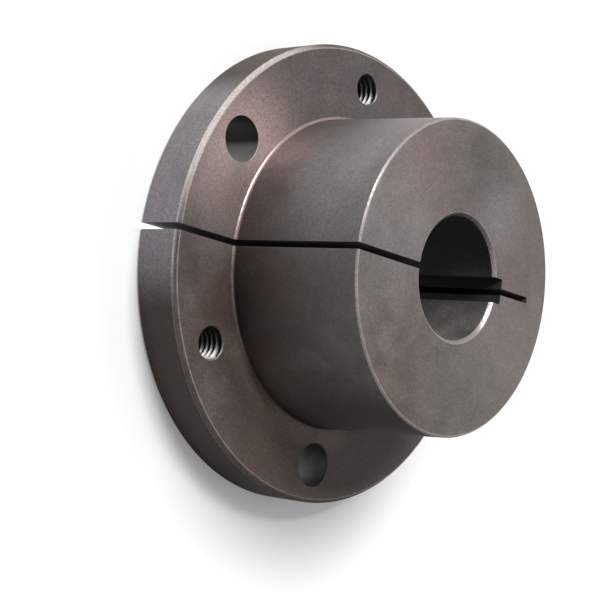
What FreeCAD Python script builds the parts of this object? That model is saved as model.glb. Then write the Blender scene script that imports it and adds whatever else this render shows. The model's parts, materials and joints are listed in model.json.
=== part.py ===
import FreeCAD, Part
import math
import os

# Quick disconnect bushing, millimetres.
# It is one piece of steel: a round flange with a slightly tapered barrel in front of it,
# bored through, keyed, drilled on one bolt circle and split by a saw so that it can close
# on a shaft when screws draw the taper into a hub.
# It stands on the back face of the flange. The origin is the centre of that face,
# +Z runs along the bore to the nose, and +X points at the keyway, opposite the split.

# Flange
flange_thickness = 12.7         # 1/2 in
flange_ledge = 19.05            # 3/4 in, how far the flange stands out round the barrel
flange_front_chamfer = 1.0
flange_back_chamfer = 0.5

# Tapered barrel
barrel_diameter = 79.375        # 3 1/8 in, at the front face of the flange
taper = 0.0625                  # loss of diameter for each unit of length, 3/4 in per foot
overall_length = 50.0           # back face to nose
barrel_fillet = 0.75            # where the barrel meets the flange
nose_chamfer = 0.4

# Bore and keyway
bore_diameter = 30.1625         # 1 3/16 in
bore_chamfer = 0.8
keyway_width = 6.35             # 1/4 in
keyway_depth = 3.175            # 1/8 in, from the crown of the bore

# Saw cut: right through one wall, and part of the way into the wall behind the keyway
saw_kerf = 1.6
hinge_wall = 8.5                # metal left outside the partial cut, measured at the nose

# Holes in the flange: clearance and tapped holes take turns round one bolt circle
screw_count = 3
clearance_hole_diameter = 11.1125   # 7/16 in
thread_diameter = 9.525         # 3/8 in, the major diameter of the jacking thread

# How far a cutting tool runs past the surface that it leaves
tool_overrun = 1.0

# The flange is 4 5/8 in across, and the bolt circle of 3 7/8 in runs midway along its ledge
flange_diameter = barrel_diameter + 2 * flange_ledge
bolt_circle_diameter = barrel_diameter + flange_ledge


def barrel_radius(height):
    """Radius of the tapered barrel at a height above the back face."""
    return (barrel_diameter - taper * (height - flange_thickness)) / 2


def ring_edges(solid, radius, height):
    """The circular edges of a turned solid that have this radius and height."""
    found = []
    for edge in solid.Edges:
        if not isinstance(edge.Curve, Part.Circle):
            continue
        same_radius = abs(edge.Curve.Radius - radius) < 0.001
        same_height = abs(edge.Curve.Center.z - height) < 0.001
        if same_radius and same_height:
            found.append(edge)
    return found


def turned_blank():
    """Flange, barrel and bore with sharp corners: one section turned about the axis."""
    bore = bore_diameter / 2
    section = [
        (bore, 0),
        (flange_diameter / 2, 0),
        (flange_diameter / 2, flange_thickness),
        (barrel_radius(flange_thickness), flange_thickness),
        (barrel_radius(overall_length), overall_length),
        (bore, overall_length),
    ]
    corners = [FreeCAD.Vector(radius, 0, height) for radius, height in section]
    outline = Part.makePolygon(corners + corners[:1])
    centre = FreeCAD.Vector(0, 0, 0)
    axis = FreeCAD.Vector(0, 0, 1)
    return Part.Face(outline).revolve(centre, axis, 360)


def break_corners(blank):
    """The fillet at the foot of the barrel and the chamfers on the turned edges."""
    root = ring_edges(blank, barrel_radius(flange_thickness), flange_thickness)
    part = blank.makeFillet(barrel_fillet, root)
    chamfers = [
        (flange_back_chamfer, flange_diameter / 2, 0),
        (flange_front_chamfer, flange_diameter / 2, flange_thickness),
        (nose_chamfer, barrel_radius(overall_length), overall_length),
        (bore_chamfer, bore_diameter / 2, 0),
        (bore_chamfer, bore_diameter / 2, overall_length),
    ]
    for size, radius, height in chamfers:
        part = part.makeChamfer(size, ring_edges(part, radius, height))
    return part


def flange_hole(diameter, angle):
    """The drill for one hole through the flange, at an angle round the bolt circle."""
    reach = bolt_circle_diameter / 2
    place = FreeCAD.Vector(
        reach * math.cos(math.radians(angle)),
        reach * math.sin(math.radians(angle)),
        -tool_overrun,
    )
    depth = flange_thickness + 2 * tool_overrun
    return Part.makeCylinder(diameter / 2, depth, place)


def flange_holes():
    """Clearance and tapped holes by turns, with the split midway between two of them."""
    pitch = 360 / screw_count
    drills = []
    for index in range(screw_count):
        clearance_angle = pitch / 4 + index * pitch
        tapped_angle = clearance_angle + pitch / 2
        drills.append(flange_hole(clearance_hole_diameter, clearance_angle))
        drills.append(flange_hole(thread_diameter, tapped_angle))
    return drills


def radial_slot(width, start, end):
    """A straight slot along X from start to end, through the whole length of the part."""
    corner = FreeCAD.Vector(start, -width / 2, -tool_overrun)
    height = overall_length + 2 * tool_overrun
    return Part.makeBox(end - start, width, height, corner)


def keyway():
    return radial_slot(keyway_width, 0, bore_diameter / 2 + keyway_depth)


def saw_cut():
    open_end = -flange_diameter / 2 - tool_overrun
    blind_end = barrel_radius(overall_length) - hinge_wall
    return radial_slot(saw_kerf, open_end, blind_end)


def bushing():
    part = break_corners(turned_blank())
    for tool in flange_holes() + [keyway(), saw_cut()]:
        part = part.cut(tool)
    return part.Solids[0]


os.makedirs("parts", exist_ok=True)
body = bushing()
body.exportStep("parts/bushing.step")
print("bushing: volume %.1f mm3, valid %s" % (body.Volume, body.isValid()))
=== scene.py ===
# %% [markdown]
# # A quick disconnect bushing
# The object is one piece of steel: a round flange with a slightly tapered barrel, bored, keyed,
# drilled and split by a saw. A coat of dark oxide covers it, brown-grey with faint pink, blue and
# green clouds. The turned edges are bare where the coat is thin and carry painted highlights, and in
# places the colour holds painted light and shade.
# This file dresses the imported model. It loads the frame, rebuilds the piece as a fine mesh with the
# same sizes, gives each worked surface its finish, and lights it on a white floor.

# %% Load the frame
import json
import math

import bmesh
import bpy
from mathutils import Matrix, Vector


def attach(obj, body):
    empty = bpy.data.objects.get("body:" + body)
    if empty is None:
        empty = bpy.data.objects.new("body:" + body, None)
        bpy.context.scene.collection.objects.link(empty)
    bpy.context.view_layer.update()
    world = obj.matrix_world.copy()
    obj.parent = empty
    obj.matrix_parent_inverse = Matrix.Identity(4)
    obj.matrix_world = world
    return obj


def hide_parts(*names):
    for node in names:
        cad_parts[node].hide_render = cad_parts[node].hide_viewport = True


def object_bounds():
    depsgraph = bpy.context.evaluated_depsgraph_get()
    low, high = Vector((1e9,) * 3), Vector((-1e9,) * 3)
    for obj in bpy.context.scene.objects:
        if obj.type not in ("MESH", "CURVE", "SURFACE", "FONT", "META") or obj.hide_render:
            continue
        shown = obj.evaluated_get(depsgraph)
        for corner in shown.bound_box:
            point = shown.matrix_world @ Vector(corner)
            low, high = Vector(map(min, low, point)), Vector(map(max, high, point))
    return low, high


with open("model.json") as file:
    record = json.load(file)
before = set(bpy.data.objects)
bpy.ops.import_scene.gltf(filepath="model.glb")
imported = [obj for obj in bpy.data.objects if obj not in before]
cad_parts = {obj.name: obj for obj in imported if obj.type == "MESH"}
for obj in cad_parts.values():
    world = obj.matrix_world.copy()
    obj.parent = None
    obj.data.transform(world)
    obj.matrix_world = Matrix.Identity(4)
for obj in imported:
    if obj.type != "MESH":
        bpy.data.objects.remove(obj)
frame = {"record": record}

cad_low, cad_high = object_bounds()
print("CAD box, mm:", [round(1000 * value, 2) for value in (*cad_low, *cad_high)])

# %% [markdown]
# ## Sizes
# The record states what other parts fasten to: the bore, the two hole patterns and the plane that the
# holes start from. The box gives the flange's radius and the overall length. Only the small shapes
# of the turned edges, the keyway and the saw cut are named here, in metres.

# %% Sizes from the frame
MM = 0.001
mounts = {mount["name"]: mount for mount in frame["record"]["mounts"]}
flange_radius = cad_high.x
overall_length = cad_high.z
flange_thickness = mounts["clearance_holes"]["pos_m"][2]
bore_radius = mounts["shaft_bore"]["dims"]["r_mm"] * MM
circle_radius = mounts["clearance_holes"]["dims"]["pcd_mm"] * MM / 2
clearance_radius = mounts["clearance_holes"]["dims"]["hole_r_mm"] * MM
thread_major_radius = mounts["jacking_holes"]["dims"]["hole_r_mm"] * MM
hole_count = mounts["clearance_holes"]["dims"]["count"]

# %% Sizes of the small shapes
flange_front_chamfer = 1.0 * MM
flange_back_chamfer = 0.5 * MM
barrel_foot_radius = 39.6875 * MM
barrel_fillet = 0.75 * MM
taper = 0.0625
nose_chamfer = 0.4 * MM
bore_chamfer = 0.8 * MM
keyway_width = 6.35 * MM
keyway_depth = 3.175 * MM
saw_kerf = 1.6 * MM
hinge_wall = 8.5 * MM
nose_radius = barrel_foot_radius - taper * (overall_length - flange_thickness) / 2
print("flange", round(flange_radius, 5), "nose", round(nose_radius, 5), "bore", bore_radius)

# %% [markdown]
# ## One finish for each way of working
# The steel was turned, drilled, tapped, broached and sawn before it was coated, and each of these
# leaves another surface. Each gets its own material here. A cutting tool then carries the material
# of the wall that it leaves, as a real one leaves its own marks.

# %% Name the finishes
turned_oxide = bpy.data.materials.new("turned_oxide")
drilled_wall = bpy.data.materials.new("drilled_wall")
broached_wall = bpy.data.materials.new("broached_wall")
sawn_wall = bpy.data.materials.new("sawn_wall")
tapped_steel = bpy.data.materials.new("tapped_steel")

# %% [markdown]
# ## The turned blank
# On a lathe the flange, barrel and bore come from one bar. Here the half section is drawn once, as
# a closed ring of points in the XZ plane, and spun round the bore. The fillet at the foot of the
# barrel is a short arc of points. With 256 steps the rim shows no corners in the picture.

# %% The half section
SPIN_STEPS = 256
FILLET_STEPS = 8


def fillet_points():
    """The arc from the flange's face up to the barrel."""
    centre_r = barrel_foot_radius + barrel_fillet
    centre_z = flange_thickness + barrel_fillet
    points = []
    for step in range(FILLET_STEPS + 1):
        angle = math.radians(270 - 90 * step / FILLET_STEPS)
        reach = centre_r + barrel_fillet * math.cos(angle)
        points.append((reach, centre_z + barrel_fillet * math.sin(angle)))
    return points


def half_section():
    """Radius and height of each corner, from the bore's back edge out, up and in again."""
    flange = [
        (bore_radius, bore_chamfer),
        (bore_radius + bore_chamfer, 0),
        (flange_radius - flange_back_chamfer, 0),
        (flange_radius, flange_back_chamfer),
        (flange_radius, flange_thickness - flange_front_chamfer),
        (flange_radius - flange_front_chamfer, flange_thickness),
    ]
    nose = [
        (nose_radius, overall_length - nose_chamfer),
        (nose_radius - nose_chamfer, overall_length),
        (bore_radius + bore_chamfer, overall_length),
        (bore_radius, overall_length - bore_chamfer),
    ]
    return flange + fillet_points() + nose


# %% Spin a section
def spun(points, steps, centre=(0, 0, 0)):
    """A closed solid of revolution about the upright line through centre."""
    bm = bmesh.new()
    verts = [bm.verts.new((centre[0] + r, centre[1], centre[2] + z)) for r, z in points]
    edges = [bm.edges.new((verts[i - 1], verts[i])) for i in range(len(verts))]
    bmesh.ops.spin(
        bm, geom=verts + edges, cent=centre, axis=(0, 0, 1), angle=2 * math.pi,
        steps=steps, use_merge=True,
    )
    bmesh.ops.remove_doubles(bm, verts=bm.verts, dist=0.001 * MM)
    bmesh.ops.recalc_face_normals(bm, faces=bm.faces)
    return bm


def add_piece(bm, name, material):
    """Turns a bmesh into an object at the origin."""
    mesh = bpy.data.meshes.new(name)
    bm.to_mesh(mesh)
    bm.free()
    mesh.materials.append(material)
    piece = bpy.data.objects.new(name, mesh)
    bpy.context.scene.collection.objects.link(piece)
    return piece


body = add_piece(spun(half_section(), SPIN_STEPS), "bushing_body", turned_oxide)
print("blank:", len(body.data.polygons), "faces")

# %% [markdown]
# ## Drilling, keying and sawing
# Each tool is a closed mesh of what it takes away, and a Boolean does the cutting. The clearance
# drill breaks its two mouths a little. The tapped holes have a small countersink at each mouth, and
# below it the wall stands back to the thread's major diameter, so that the thread can be laid in.
# The keyway and the saw cut are boxes, since a broach and a saw leave straight walls.

# %% Cut with a tool
OVERRUN = 1.0 * MM


def cut(piece, tool_bm, wall):
    """Takes the tool's volume off the piece, and leaves walls of the given material."""
    tool = add_piece(tool_bm, "tool", wall)
    step = piece.modifiers.new("cut", "BOOLEAN")
    step.operation = "DIFFERENCE"
    step.solver = "EXACT"
    step.material_mode = "TRANSFER"
    step.object = tool
    graph = bpy.context.evaluated_depsgraph_get()
    result = bpy.data.meshes.new_from_object(piece.evaluated_get(graph))
    piece.modifiers.clear()
    before = piece.data
    piece.data = result
    bpy.data.meshes.remove(before)
    bpy.data.objects.remove(tool)


# %% The six flange holes
HOLE_STEPS = 96
MOUTH_BREAK = 0.12 * MM
COUNTERSINK_RADIUS = 4.2 * MM
COUNTERSINK_DEPTH = 0.3 * MM


def hole_centre(index, tapped):
    """Clearance and tapped holes take turns, with the split midway between two of them."""
    pitch = 2 * math.pi / hole_count
    angle = pitch / 4 + index * pitch + (pitch / 2 if tapped else 0)
    return (circle_radius * math.cos(angle), circle_radius * math.sin(angle), 0)


def clearance_drill():
    """Half section of the plain drill, a little wider at both faces of the flange."""
    wide = clearance_radius + MOUTH_BREAK + OVERRUN
    return [
        (0, -OVERRUN),
        (wide, -OVERRUN),
        (clearance_radius, MOUTH_BREAK),
        (clearance_radius, flange_thickness - MOUTH_BREAK),
        (wide, flange_thickness + OVERRUN),
        (0, flange_thickness + OVERRUN),
    ]


def tapping_drill():
    """Half section of the tapped hole: countersinks, and the seat of the thread between them."""
    wide = COUNTERSINK_RADIUS + OVERRUN
    lip = COUNTERSINK_RADIUS - COUNTERSINK_DEPTH
    top = flange_thickness - COUNTERSINK_DEPTH
    return [
        (0, -OVERRUN),
        (wide, -OVERRUN),
        (lip, COUNTERSINK_DEPTH),
        (thread_major_radius, COUNTERSINK_DEPTH),
        (thread_major_radius, top),
        (lip, top),
        (wide, flange_thickness + OVERRUN),
        (0, flange_thickness + OVERRUN),
    ]


for index in range(hole_count):
    cut(body, spun(clearance_drill(), HOLE_STEPS, hole_centre(index, False)), drilled_wall)
    cut(body, spun(tapping_drill(), HOLE_STEPS, hole_centre(index, True)), tapped_steel)
print("drilled:", len(body.data.polygons), "faces")


# %% The keyway and the saw cut
def slot_tool(width, start, end):
    """A box along X from start to end, through the whole length."""
    bm = bmesh.new()
    bmesh.ops.create_cube(bm, size=1)
    height = overall_length + 2 * OVERRUN
    bmesh.ops.scale(bm, vec=(end - start, width, height), verts=bm.verts)
    bmesh.ops.translate(bm, vec=((start + end) / 2, 0, overall_length / 2), verts=bm.verts)
    return bm


cut(body, slot_tool(keyway_width, 0, bore_radius + keyway_depth), broached_wall)
cut(body, slot_tool(saw_kerf, -flange_radius - OVERRUN, nose_radius - hinge_wall), sawn_wall)
print("keyed and split:", len(body.data.polygons), "faces,", [m.name for m in body.data.materials])

# %% Break the cut edges
EDGE_WIDTH = 0.10 * MM
EDGE_ANGLE = math.radians(30)

for polygon in body.data.polygons:
    polygon.use_smooth = True
broken = body.modifiers.new("broken edges", "BEVEL")
broken.width = EDGE_WIDTH
broken.segments = 2
broken.limit_method = "ANGLE"
broken.angle_limit = EDGE_ANGLE
even = body.modifiers.new("even shading", "WEIGHTED_NORMAL")
even.weight = 100
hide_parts("bushing")
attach(body, "root")

# %% [markdown]
# ## The jacking thread
# A 3/8-16 thread is a ridge that climbs one pitch each turn. Its section is a 60 degree tooth with
# its tip cut off. Spinning that section with a rise for each step makes the helix in one call.

# %% Thread ridges
THREAD_PITCH = 1.5875 * MM
TURN_STEPS = 48
SEAT_DEPTH = 0.03 * MM


def thread_section():
    """Corners of the tooth, as reach from the axis and height, and half the tooth's height."""
    depth = 0.541 * THREAD_PITCH
    tip = THREAD_PITCH / 16
    root = tip + depth * math.tan(math.radians(30))
    inner = thread_major_radius - depth
    outer = thread_major_radius + SEAT_DEPTH
    return [(outer, -root), (inner, -tip), (inner, tip), (outer, root)], root


def thread_ridge(centre):
    """The ridge between the two countersinks of one hole."""
    bm = bmesh.new()
    corners, half_height = thread_section()
    start = COUNTERSINK_DEPTH + half_height
    length = flange_thickness - 2 * start
    steps = round(length / THREAD_PITCH * TURN_STEPS)
    verts = [bm.verts.new((centre[0] + r, centre[1], start + z)) for r, z in corners]
    face = bm.faces.new(verts)
    bmesh.ops.spin(
        bm, geom=[face], cent=centre, axis=(0, 0, 1), dvec=(0, 0, THREAD_PITCH / TURN_STEPS),
        angle=2 * math.pi * steps / TURN_STEPS, steps=steps,
    )
    bmesh.ops.recalc_face_normals(bm, faces=bm.faces)
    return bm


threads = []
for index in range(hole_count):
    name = "jacking_thread_%d" % (index + 1)
    thread = add_piece(thread_ridge(hole_centre(index, True)), name, tapped_steel)
    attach(thread, "root")
    threads.append(thread)
print("threads:", [len(thread.data.polygons) for thread in threads], "faces")


# %% [markdown]
# ## Helpers for the finishes
# A finish is a small graph of nodes. These helpers add one node each and hand back its output, so
# that a finish reads like a recipe. Every pattern is laid out in object coordinates, so it keeps its
# size in millimetres and runs on from one surface to the next.

# %% Node helpers
def feed(tree, socket, value):
    """Puts a number, a colour or another node's output into a socket."""
    if isinstance(value, bpy.types.NodeSocket):
        tree.links.new(value, socket)
    else:
        socket.default_value = value


def maths(tree, operation, *values):
    node = tree.nodes.new("ShaderNodeMath")
    node.operation = operation
    for socket, value in zip(node.inputs, values):
        feed(tree, socket, value)
    return node.outputs[0]


def vector_maths(tree, operation, *values):
    node = tree.nodes.new("ShaderNodeVectorMath")
    node.operation = operation
    for socket, value in zip(node.inputs, values):
        feed(tree, socket, value)
    return node.outputs["Value" if operation in ("LENGTH", "DISTANCE", "DOT_PRODUCT") else "Vector"]


def ease(tree, value, start, end):
    """Rises smoothly from 0 at start to 1 at end, and falls where start is the larger."""
    node = tree.nodes.new("ShaderNodeMapRange")
    node.interpolation_type = "SMOOTHSTEP"
    feed(tree, node.inputs["Value"], value)
    node.inputs["From Min"].default_value = start
    node.inputs["From Max"].default_value = end
    return node.outputs["Result"]


def between(tree, value, low, high):
    """Spreads a value from 0 to 1 evenly over low to high."""
    return maths(tree, "MULTIPLY_ADD", value, high - low, low)


def noise(tree, place, grain, detail, roughness, twist=0.0):
    """Soft noise between 0 and 1, whose spots are about as wide as grain, in metres."""
    node = tree.nodes.new("ShaderNodeTexNoise")
    feed(tree, node.inputs["Vector"], place)
    node.inputs["Scale"].default_value = 1 / grain
    node.inputs["Detail"].default_value = detail
    node.inputs["Roughness"].default_value = roughness
    node.inputs["Distortion"].default_value = twist
    return node.outputs["Fac"]


def blend(tree, amount, first, second):
    """Mixes two colours, each a triple or another node's output."""
    node = tree.nodes.new("ShaderNodeMix")
    node.data_type = "RGBA"
    feed(tree, node.inputs[0], amount)
    for socket, value in ((node.inputs[6], first), (node.inputs[7], second)):
        feed(tree, socket, value if isinstance(value, bpy.types.NodeSocket) else (*value, 1.0))
    return node.outputs[2]


def bump(tree, height, depth):
    """Turns a height between 0 and 1 into a normal, with its full depth in metres."""
    node = tree.nodes.new("ShaderNodeBump")
    node.inputs["Distance"].default_value = depth
    feed(tree, node.inputs["Height"], height)
    return node.outputs["Normal"]


def start_finish(material):
    """The material's tree, its shader and its object coordinates."""
    material.use_nodes = True
    tree = material.node_tree
    shader = tree.nodes["Principled BSDF"]
    place = tree.nodes.new("ShaderNodeTexCoord").outputs["Object"]
    return tree, shader, place


# %% [markdown]
# ## Places on a turned part
# On a turned part most marks follow the half section. A point's reach from the axis and its height
# say whether it lies on a chamfer, on the fillet or in the bore, wherever it is round the part.

# %% Reach, height and turned corners
def reach_and_height(tree, place):
    reach = vector_maths(tree, "LENGTH", vector_maths(tree, "MULTIPLY", place, (1, 1, 0)))
    split = tree.nodes.new("ShaderNodeSeparateXYZ")
    tree.links.new(place, split.inputs[0])
    return reach, split.outputs["Z"]


def side_of_part(tree, place, direction, start, end):
    """1 on the side of the part that lies in a direction, with start and end as cosines."""
    outward = vector_maths(tree, "NORMALIZE", vector_maths(tree, "MULTIPLY", place, (1, 1, 0)))
    return ease(tree, vector_maths(tree, "DOT_PRODUCT", outward, direction), start, end)


def in_section(tree, reach, height):
    """The place in the half section, as a vector of reach and height."""
    node = tree.nodes.new("ShaderNodeCombineXYZ")
    tree.links.new(reach, node.inputs["X"])
    tree.links.new(height, node.inputs["Y"])
    return node.outputs["Vector"]


def near_corner(tree, section, corner, size):
    """1 within size of a corner of the half section, and 0 a little further off."""
    distance = vector_maths(tree, "DISTANCE", section, (*corner, 0))
    return ease(tree, distance, 1.25 * size, 0.9 * size)


def highest(tree, values):
    top = values[0]
    for value in values[1:]:
        top = maths(tree, "MAXIMUM", top, value)
    return top


# %% Where the turned edges are worn
# Corner of the half section, how far the wear reaches from it, and how strong it is
half_chamfer = flange_front_chamfer / 2
arc_inset = barrel_fillet * (1 - math.sqrt(0.5))
BURNISHED = {
    "flange chamfer": ((flange_radius - half_chamfer, flange_thickness - half_chamfer), 0.68 * MM, 0.9),
    "fillet": ((barrel_foot_radius + arc_inset, flange_thickness + arc_inset), 0.45 * MM, 0.9),
    "nose edge": ((nose_radius - nose_chamfer / 2, overall_length - nose_chamfer / 2), 0.30 * MM, 0.60),
    "bore chamfer": ((bore_radius + bore_chamfer / 2, overall_length - bore_chamfer / 2), 0.55 * MM, 0.7),
    "back edge": ((flange_radius - flange_back_chamfer / 2, flange_back_chamfer / 2), 0.35 * MM, 0.7),
    "back of the bore": ((bore_radius + bore_chamfer / 2, bore_chamfer / 2), 0.55 * MM, 0.7),
}
SCUFFED = {
    "fillet": ((barrel_foot_radius + arc_inset, flange_thickness + arc_inset), 0.20 * MM, 0.32),
    "inside the flange chamfer": ((flange_radius - flange_front_chamfer, flange_thickness), 0.16 * MM, 0.6),
    "outside the flange chamfer": ((flange_radius, flange_thickness - flange_front_chamfer), 0.13 * MM, 0.2),
    "nose": ((nose_radius - nose_chamfer, overall_length), 0.18 * MM, 0.6),
    "bore": ((bore_radius + bore_chamfer, overall_length), 0.12 * MM, 0.4),
}


def wear_at(tree, section, corners):
    """How worn the coat is near the given corners of the half section."""
    parts = []
    for corner, size, amount in corners.values():
        parts.append(maths(tree, "MULTIPLY", near_corner(tree, section, corner, size), amount))
    return highest(tree, parts)


def rubbed_edges(tree):
    """Finds every sharp edge: there a rounded normal leaves the surface's own."""
    rounded = tree.nodes.new("ShaderNodeBevel")
    rounded.samples = 4
    rounded.inputs["Radius"].default_value = 0.25 * MM
    own = tree.nodes.new("ShaderNodeNewGeometry").outputs["Normal"]
    same = vector_maths(tree, "DOT_PRODUCT", rounded.outputs["Normal"], own)
    return ease(tree, same, 0.97, 0.80)


print("burnished:", ", ".join(BURNISHED))
print("scuffed:", ", ".join(SCUFFED))

# %% [markdown]
# ## The turned and coated steel
# The oxide is thin and uneven. A broad pattern shifts it from brown to grey, and named clouds lie on
# top of it: pink round one flange hole, whose paleness is partly a painted highlight, slate on the
# barrel, darker and paler ones on the nose, and dark ones where the barrel meets the flange, partly
# the coat and partly painted shade. Pale olive ones on the flange are painted light where the barrel
# casts its shadow, and the barrel's dark lower side is painted shade. Part of the rim is blue-grey
# with a mauve spot beside the split and the rest is dark, partly the coat and partly painted light
# and shade. The side facing down is painted almost black as shade, and the bore's upper wall and deep
# end take a flat grey as painted shade. Low down the foot of the barrel is made paler as painted
# light. Each cloud is a colour, a place and a size, so one line adds or moves a cloud.

# %% Colours of the oxide
BROWN = (0.138, 0.110, 0.102)
GREY = (0.145, 0.124, 0.117)
DARK = (0.066, 0.038, 0.027)
INK = (0.026, 0.019, 0.016)
SHADED_BORE_GREY = (0.118, 0.119, 0.117)
BARK = (0.092, 0.068, 0.060)
DUSK = (0.088, 0.081, 0.073)
ROSE = (0.180, 0.120, 0.117)
OLIVE = (0.290, 0.215, 0.180)
PINK = (0.500, 0.350, 0.333)
MAUVE = (0.460, 0.390, 0.440)
BLUE = (0.370, 0.355, 0.365)
SOOT = (0.108, 0.076, 0.064)
SLATE = (0.190, 0.192, 0.188)
PALE = (0.162, 0.132, 0.124)
DUN = (0.121, 0.109, 0.101)
ASH = (0.098, 0.091, 0.082)
SAND = (0.158, 0.146, 0.133)
# Bare steel of the worn edges, paled also as their painted highlight; BLUSH is the fillet's pink one
STEEL = (0.60, 0.53, 0.505)
BLUSH = (0.58, 0.43, 0.40)
SCUFF = (0.40, 0.33, 0.31)

# %% Clouds of the oxide
# The lower side of the barrel, painted dark here as shade and duller in the next step
LOWER_SIDE = Vector((-10, -42, 32)) * MM
LOWER_SIDE_REACH = 42 * MM

# A tint, the middle of its cloud, how far the cloud reaches and how strong it is
CLOUDS = [
    # Partly the coat and partly painted shade: dark where the barrel meets the flange
    (DARK, Vector((-36, -14, 24)) * MM, 33 * MM, 0.85),
    # Painted shade: the barrel's lower side
    (DARK, LOWER_SIDE, LOWER_SIDE_REACH, 0.85),
    # The pink of the coat round one flange hole, made pale enough to be partly a painted highlight
    (PINK, Vector((-41, 22, 13)) * MM, 26 * MM, 0.9),
    # Painted light: pale olive on the flange where the barrel casts its shadow
    (OLIVE, Vector((2, -42, 13)) * MM, 40 * MM, 0.75),
    (OLIVE, Vector((-14, -39, 13)) * MM, 15 * MM, 0.8),
    (SLATE, Vector((-34, 17, 42)) * MM, 28 * MM, 0.95),
    # Partly the coat and partly painted shade: dark at the foot of the barrel
    (BARK, Vector((-38, 11, 17)) * MM, 17 * MM, 0.75),
    (DUSK, Vector((-24, 31, 32)) * MM, 15 * MM, 0.3),
    (BARK, Vector((-57, -8, 12)) * MM, 15 * MM, 0.75),
    (DUN, Vector((6, -27, 50)) * MM, 32 * MM, 0.8),
    (PALE, Vector((-28, 13, 50)) * MM, 17 * MM, 0.8),
    (DUSK, Vector((-34, -6, 50)) * MM, 24 * MM, 0.35),
    (ROSE, Vector((-19, 25, 50)) * MM, 14 * MM, 0.5),
    (DUSK, Vector((5, 29, 50)) * MM, 17 * MM, 0.7),
    (SLATE, Vector((13, 18, 50)) * MM, 15 * MM, 0.4),
    (DUSK, Vector((27, 5, 50)) * MM, 10 * MM, 0.3),
    (PALE, Vector((27, -15, 50)) * MM, 14 * MM, 0.5),
]


def cloud(tree, place, ragged, centre, size, amount):
    """1 in the middle of a cloud, 0 outside it, with a ragged edge."""
    distance = vector_maths(tree, "DISTANCE", place, centre)
    shifted = maths(tree, "MULTIPLY_ADD", ragged, 0.7 * size, distance)
    return maths(tree, "MULTIPLY", ease(tree, shifted, 1.35 * size, 0.45 * size), amount)


# %% Patterns of the turned oxide
tree, shader, place = start_finish(turned_oxide)
reach, height = reach_and_height(tree, place)
section = in_section(tree, reach, height)
broad = noise(tree, place, 30 * MM, 4, 0.6, 0.6)
patchy = noise(tree, place, 8 * MM, 4, 0.6, 0.3)
speckle = noise(tree, place, 1.4 * MM, 3, 0.6)
grain = noise(tree, place, 0.45 * MM, 2, 0.6)
slow_turn = vector_maths(tree, "SCALE", place)
slow_turn.node.inputs["Scale"].default_value = 0.03
marks = noise(tree, vector_maths(tree, "ADD", section, slow_turn), 0.35 * MM, 3, 0.65)

# %% Colour of the flange, barrel and nose
colour = blend(tree, ease(tree, broad, 0.38, 0.62), BROWN, GREY)
for tint, centre, size, amount in CLOUDS:
    colour = blend(tree, cloud(tree, place, patchy, centre, size, amount), colour, tint)

# %% Colour of the rim and of the underside, with painted light and shade
BLUE_SIDE = (-0.973, 0.230, 0)
MAUVE_SPOT = Vector((-59, 2, 6)) * MM
LOWEST_SIDE = (0.1, -0.99, 0)

on_rim = ease(tree, reach, flange_radius - flange_front_chamfer, flange_radius - 0.2 * MM)
# Painted light and shade: the rim is dark but for a pale band on one side, whose blue-grey tint alone is the
# coat's own
rim = blend(tree, side_of_part(tree, place, BLUE_SIDE, 0.84, 0.95), SOOT, BLUE)
rim = blend(tree, cloud(tree, place, patchy, MAUVE_SPOT, 18 * MM, 0.8), rim, MAUVE)
below_chamfer = ease(tree, height, flange_thickness - 0.4 * MM, flange_thickness - 0.9 * MM)
colour = blend(tree, maths(tree, "MULTIPLY", on_rim, below_chamfer), colour, rim)

# Painted shade: every surface that faces LOWEST_SIDE goes almost black
facing = tree.nodes.new("ShaderNodeNewGeometry").outputs["Normal"]
underside = ease(tree, vector_maths(tree, "DOT_PRODUCT", facing, LOWEST_SIDE), 0.55, 1.0)
colour = blend(tree, underside, colour, INK)

# %% Colour of the bore
UPPER_WALL = (0.34, 0.94, 0)

in_bore = ease(tree, reach, bore_radius + 0.30 * MM, bore_radius + 0.05 * MM)
colour = blend(tree, in_bore, colour, blend(tree, ease(tree, patchy, 0.35, 0.65), ASH, SAND))
# Painted shade: the bore's upper wall and its deep end take a flat, dull grey
upper_wall = side_of_part(tree, place, UPPER_WALL, -0.15, 0.20)
deep_wall = maths(tree, "MULTIPLY", ease(tree, height, 46 * MM, 22 * MM), 0.6)
painted_shade_in_bore = maths(tree, "MULTIPLY", in_bore, highest(tree, [upper_wall, deep_wall]))
colour = blend(tree, painted_shade_in_bore, colour, SHADED_BORE_GREY)

# %% Shades of the coat
# Painted light: on one side, the foot of the barrel and the flange beside it are made up to 2.2 times paler,
# where the barrel casts its shadow
FOOT_LIGHT_SIDE = (-0.36, -0.93, 0)

foot_side = side_of_part(tree, place, FOOT_LIGHT_SIDE, 0.72, 0.92)
foot_out = ease(tree, reach, 47 * MM, 40.5 * MM)
foot_up = ease(tree, height, 30 * MM, 14 * MM)
painted_light_foot = maths(tree, "MULTIPLY", foot_side, maths(tree, "MULTIPLY", foot_out, foot_up))

# The painted light at the foot, the height, the patches, the speckle, the grain and the turning marks
shades = [
    between(tree, painted_light_foot, 1.0, 2.2),
    # Darker towards the flange: partly the coat, partly painted shade at the foot of the barrel
    between(tree, ease(tree, height, 12 * MM, 44 * MM), 0.66, 1.0),
    between(tree, ease(tree, patchy, 0.30, 0.70), 0.90, 1.10),
    between(tree, ease(tree, speckle, 0.30, 0.70), 0.93, 1.07),
    between(tree, ease(tree, grain, 0.25, 0.75), 0.74, 1.26),
    between(tree, marks, 0.84, 1.16),
]
for shade in shades:
    darker = vector_maths(tree, "SCALE", colour)
    feed(tree, darker.node.inputs["Scale"], shade)
    colour = darker

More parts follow.
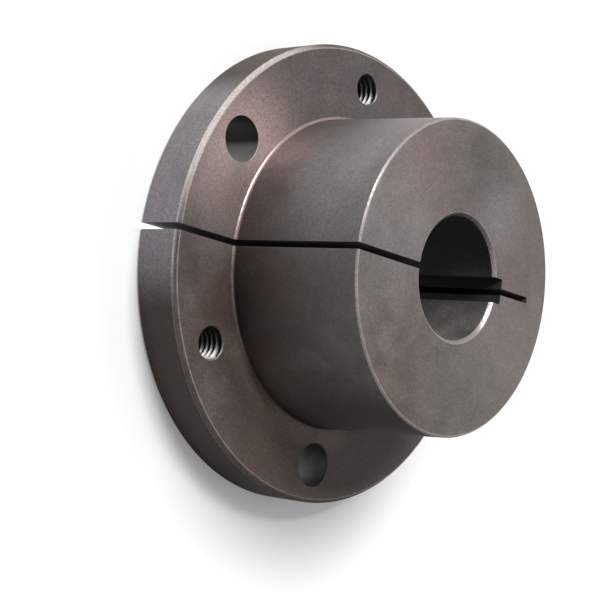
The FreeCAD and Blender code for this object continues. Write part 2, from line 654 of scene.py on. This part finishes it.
# %% Where the worn edges get a painted highlight
# The way to the side where each edge gets its painted highlight, and the cosines at which that
# starts and is full
FILLET_SHINE = ((-0.77, 0.64, 0), 0.66, 0.92)
CHAMFER_SHINE = ((-0.799, 0.602, 0), 0.80, 0.98)
BORE_SHINE = ((0.6, -0.8, 0), -0.3, 0.5)

fillet_side = between(tree, side_of_part(tree, place, *FILLET_SHINE), 0.10, 1.0)
chamfer_side = between(tree, side_of_part(tree, place, *CHAMFER_SHINE), 0.02, 1.0)
bore_side = between(tree, side_of_part(tree, place, *BORE_SHINE), 0.05, 1.0)
at_rim = ease(tree, reach, 45 * MM, 50 * MM)
at_nose = ease(tree, height, 20 * MM, 30 * MM)
past_bore = ease(tree, reach, 18 * MM, 20 * MM)
more_at_rim = maths(tree, "SUBTRACT", chamfer_side, fillet_side)
painted_highlight_side = maths(tree, "MULTIPLY_ADD", at_rim, more_at_rim, fillet_side)
painted_highlight_side = highest(tree, [painted_highlight_side, at_nose])
painted_highlight_side = maths(tree, "MULTIPLY", painted_highlight_side, highest(tree, [bore_side, past_bore]))

# %% Bare and scuffed steel, and the painted highlight
uneven = between(tree, ease(tree, speckle, 0.30, 0.70), 0.6, 1.1)
scuffed = maths(tree, "MULTIPLY", wear_at(tree, section, SCUFFED), uneven)
scuffed = highest(tree, [scuffed, maths(tree, "MULTIPLY", rubbed_edges(tree), 0.3)])
flecks = between(tree, ease(tree, grain, 0.30, 0.70), 0.52, 1.10)
# Painted highlight on real wear: the worn edges turn pale bare steel, the flange's edges and the bore's
# mouth only on the side that catches the light, and pink at the fillet
burnished_and_highlight = maths(tree, "MULTIPLY", wear_at(tree, section, BURNISHED), painted_highlight_side)
burnished_and_highlight = maths(tree, "MULTIPLY", burnished_and_highlight, flecks)
bare_and_highlight_tint = blend(tree, highest(tree, [at_rim, at_nose]), BLUSH, STEEL)
colour = blend(tree, burnished_and_highlight, colour, bare_and_highlight_tint)
colour = blend(tree, scuffed, colour, SCUFF)
feed(tree, shader.inputs["Base Color"], colour)
bare = maths(tree, "MULTIPLY", burnished_and_highlight, maths(tree, "SUBTRACT", 1.0, scuffed))
inside_rim = maths(tree, "MULTIPLY_ADD", at_rim, -0.7, 0.7)
feed(tree, shader.inputs["Metallic"], maths(tree, "MULTIPLY", bare, inside_rim))

# %% [markdown]
# ## Shine and relief
# Fine grain and the marks of the turning tool roughen the coat. Those marks run round the part, so the
# shine spreads across them and a flat face is brighter towards two opposite sides. The rim, the
# underside and the dark lower side of the barrel are duller than the rest, and worn edges are smoother.

# %% Shine and relief of the turned oxide
dull = cloud(tree, place, patchy, LOWER_SIDE, LOWER_SIDE_REACH, 1.0)
rough = between(tree, patchy, 0.34, 0.46)
rough = maths(tree, "MULTIPLY_ADD", grain, 0.10, rough)
rough = maths(tree, "MULTIPLY_ADD", bare, -0.20, rough)
rough = maths(tree, "MULTIPLY_ADD", dull, 0.20, rough)
rough = maths(tree, "MULTIPLY_ADD", highest(tree, [underside, on_rim]), 0.25, rough)
feed(tree, shader.inputs["Roughness"], rough)
shader.inputs["IOR"].default_value = 1.5
shader.inputs["Anisotropic"].default_value = 0.6
shader.inputs["Anisotropic Rotation"].default_value = 0.25
round_part = vector_maths(tree, "CROSS_PRODUCT", (0, 0, 1), place)
feed(tree, shader.inputs["Tangent"], vector_maths(tree, "NORMALIZE", round_part))

relief = maths(tree, "MULTIPLY_ADD", marks, 0.5, maths(tree, "MULTIPLY", grain, 0.5))
feed(tree, shader.inputs["Normal"], bump(tree, relief, 0.025 * MM))
print("turned oxide:", len(tree.nodes), "nodes")

# %% [markdown]
# ## Walls left by drills, taps, saw and broach
# The drilled walls are smoother and greyer than the turned ones, with fine rings down the hole. The
# upper side of the two upper holes is painted shade, and the lowest hole has painted shade and a
# streak of painted light. The tapped threads are a darker grey, with painted shade in the top hole.
# The broached keyway is close to black. The saw cut has a lighter wall, and is the darkest place all
# the same, since little light gets into so narrow a gap. A stretched noise gives the rings and
# strokes without any geometry.

# %% Drilled walls
# The lowest of the three holes has painted shade on its upper side and painted light near its lower side
LOW_HOLE_SHADE = Vector((2.5, -45, 7)) * MM
LOW_HOLE_LIGHT = Vector((4.5, -54, 4)) * MM

tree, shader, place = start_finish(drilled_wall)
rings = noise(tree, vector_maths(tree, "MULTIPLY", place, (0.1, 0.1, 1)), 0.4 * MM, 3, 0.6)
patchy = noise(tree, place, 3 * MM, 3, 0.6)
colour = blend(tree, patchy, (0.27, 0.27, 0.265), (0.40, 0.40, 0.395))
# Painted shade: the upper side of the two upper holes goes nearly black
painted_shade_upper_side = ease(tree, vector_maths(tree, "DOT_PRODUCT", place, (0, 1, 0)), 24.2 * MM, 26.2 * MM)
colour = blend(tree, painted_shade_upper_side, colour, (0.035, 0.033, 0.032))
painted_shade_spot = cloud(tree, place, patchy, LOW_HOLE_SHADE, 7 * MM, 0.9)
colour = blend(tree, painted_shade_spot, colour, INK)
painted_light_streak = cloud(tree, place, patchy, LOW_HOLE_LIGHT, 7 * MM, 0.95)
colour = blend(tree, painted_light_streak, colour, (0.62, 0.62, 0.61))
feed(tree, shader.inputs["Base Color"], colour)
shader.inputs["Metallic"].default_value = 0.4
feed(tree, shader.inputs["Roughness"], between(tree, rings, 0.35, 0.50))
feed(tree, shader.inputs["Normal"], bump(tree, rings, 0.012 * MM))

# %% Sawn and broached walls
def stroked(material, dark, light):
    """A wall with fine strokes along the bore."""
    tree, shader, place = start_finish(material)
    strokes = noise(tree, vector_maths(tree, "MULTIPLY", place, (1, 1, 0.08)), 0.3 * MM, 3, 0.6)
    feed(tree, shader.inputs["Base Color"], blend(tree, strokes, dark, light))
    feed(tree, shader.inputs["Roughness"], between(tree, strokes, 0.5, 0.7))
    feed(tree, shader.inputs["Normal"], bump(tree, strokes, 0.015 * MM))


stroked(sawn_wall, (0.070, 0.065, 0.060), (0.140, 0.130, 0.120))
stroked(broached_wall, (0.048, 0.048, 0.046), (0.095, 0.094, 0.091))

# %% Tapped threads and countersinks
# The tapped hole at the top has painted shade on its upper side
TOP_HOLE_SHADE = Vector((-1, 52.5, 8)) * MM

tree, shader, place = start_finish(tapped_steel)
patchy = noise(tree, place, 1.2 * MM, 3, 0.6)
colour = blend(tree, patchy, (0.14, 0.137, 0.133), (0.31, 0.303, 0.295))
painted_shade_spot = cloud(tree, place, patchy, TOP_HOLE_SHADE, 7 * MM, 0.9)
colour = blend(tree, painted_shade_spot, colour, INK)
feed(tree, shader.inputs["Base Color"], colour)
shader.inputs["Metallic"].default_value = 0.6
feed(tree, shader.inputs["Roughness"], between(tree, patchy, 0.36, 0.48))
feed(tree, shader.inputs["Normal"], bump(tree, patchy, 0.01 * MM))


# %% [markdown]
# ## Floor and backdrop
# The part stands on the back of its flange on a plain white floor. The floor fills the picture, so it
# is the backdrop too. Its own colour is a pale grey that keeps the shadow, and a weak glow, seen only
# by the camera and in reflections, lifts it to white without lighting the steel. The glow is full
# under the open end of the split, where the photo shows the white ground through the gap.

# %% White floor
FLOOR_GREY = 0.64
GLOW_NEAR, GLOW_FAR = 0.21, 0.38
RAMP_START, RAMP_END = 64 * MM, 88 * MM
# The full glow under the gap: its middle, half its width, and how much longer than wide it is
GAP_X = -52 * MM
GAP_HALF_WIDTH = 1.2 * MM
GAP_SQUEEZE = 0.12


def seen_directly(tree):
    """1 for camera, glossy and transmission rays, and 0 for the rest."""
    path = tree.nodes.new("ShaderNodeLightPath")
    kinds = ("Is Camera Ray", "Is Glossy Ray", "Is Transmission Ray")
    return highest(tree, [path.outputs[kind] for kind in kinds])


white_floor = bpy.data.materials.new("white_floor")
tree, shader, place = start_finish(white_floor)
shader.inputs["Base Color"].default_value = (FLOOR_GREY, FLOOR_GREY, FLOOR_GREY, 1)
shader.inputs["Roughness"].default_value = 0.9
shader.inputs["Specular IOR Level"].default_value = 0.0
shader.inputs["Emission Color"].default_value = (1, 1, 1, 1)
away = ease(tree, vector_maths(tree, "LENGTH", place), RAMP_START, RAMP_END)
glow = between(tree, away, GLOW_NEAR, GLOW_FAR)
squeezed = vector_maths(tree, "MULTIPLY", place, (GAP_SQUEEZE, 1, 1))
from_gap = vector_maths(tree, "DISTANCE", squeezed, (GAP_X * GAP_SQUEEZE, 0, 0))
glow = maths(tree, "ADD", glow, ease(tree, from_gap, GAP_HALF_WIDTH, 0.75 * GAP_HALF_WIDTH))
feed(tree, shader.inputs["Emission Strength"], maths(tree, "MULTIPLY", seen_directly(tree), glow))

floor_bm = bmesh.new()
bmesh.ops.create_grid(floor_bm, x_segments=1, y_segments=1, size=3)
floor = add_piece(floor_bm, "floor", white_floor)

# %% [markdown]
# ## Camera and light
# The camera looks at the nose and the left of the part from 40 cm, with a long lens. It is rolled so
# that the keyway points to the right of the picture. One large softbox stands over the picture's top
# edge and makes the highlights and the shadow. A weak one on the right and a weak one straight above
# fill what it leaves dark.

# %% Camera
PICTURE_WIDTH = 608
FOCAL_PIXELS = 1518.7
eye = Vector((-293.1, -51.7, 265.9)) * MM
aim = eye + Vector((0.7381, 0.1100, -0.6657)) * 0.4
picture_up = Vector((-0.1777, 0.9835, -0.0345))


def looking(eye, aim, up):
    """The place and turn of something at eye that faces aim, with up towards its top."""
    back = (eye - aim).normalized()
    right = up.cross(back).normalized()
    turned = Matrix((right, back.cross(right), back)).transposed()
    return Matrix.Translation(eye) @ turned.to_4x4()


lens = bpy.data.cameras.new("camera")
lens.sensor_width = 36
lens.lens = 36 * FOCAL_PIXELS / PICTURE_WIDTH
lens.clip_start = 0.01
camera = bpy.data.objects.new("camera", lens)
camera.matrix_world = looking(eye, aim, picture_up)
bpy.context.scene.collection.objects.link(camera)
bpy.context.scene.camera = camera
print("lens, mm:", round(lens.lens, 2))


# %% Softboxes
def softbox(name, azimuth, elevation, distance, width, height, level):
    """A soft lamp that gives a white surface facing it this level of light."""
    around = math.radians(azimuth)
    above = math.radians(elevation)
    flat = math.cos(above)
    direction = Vector((math.cos(around) * flat, math.sin(around) * flat, math.sin(above)))
    lamp = bpy.data.lights.new(name, "AREA")
    lamp.shape = "RECTANGLE"
    lamp.size = width
    lamp.size_y = height
    lamp.energy = level * math.pi ** 2 * distance ** 2
    box = bpy.data.objects.new(name, lamp)
    centre = Vector((0, 0, overall_length / 2))
    box.matrix_world = looking(centre + direction * distance, centre, Vector((0, 0, 1)))
    bpy.context.scene.collection.objects.link(box)
    print(name, "power", round(lamp.energy, 2), "W")


softbox("key_light", azimuth=106, elevation=55, distance=2.0, width=1.0, height=0.85, level=1.32)
softbox("side_light", azimuth=0, elevation=40, distance=0.8, width=0.5, height=0.5, level=0.08)
softbox("top_light", azimuth=0, elevation=88, distance=1.0, width=0.5, height=0.5, level=0.17)

world = bpy.data.worlds.new("studio")
bpy.context.scene.world = world
world.use_nodes = True
world.node_tree.nodes["Background"].inputs["Color"].default_value = (1, 1, 1, 1)
world.node_tree.nodes["Background"].inputs["Strength"].default_value = 0.02

# %% [markdown]
# ## Finish
# The render keeps plain colours, with the standard view transform. The visual bushing must fill
# the same box as the imported solid.

# %% Plain colours
bpy.context.scene.view_settings.view_transform = "Standard"
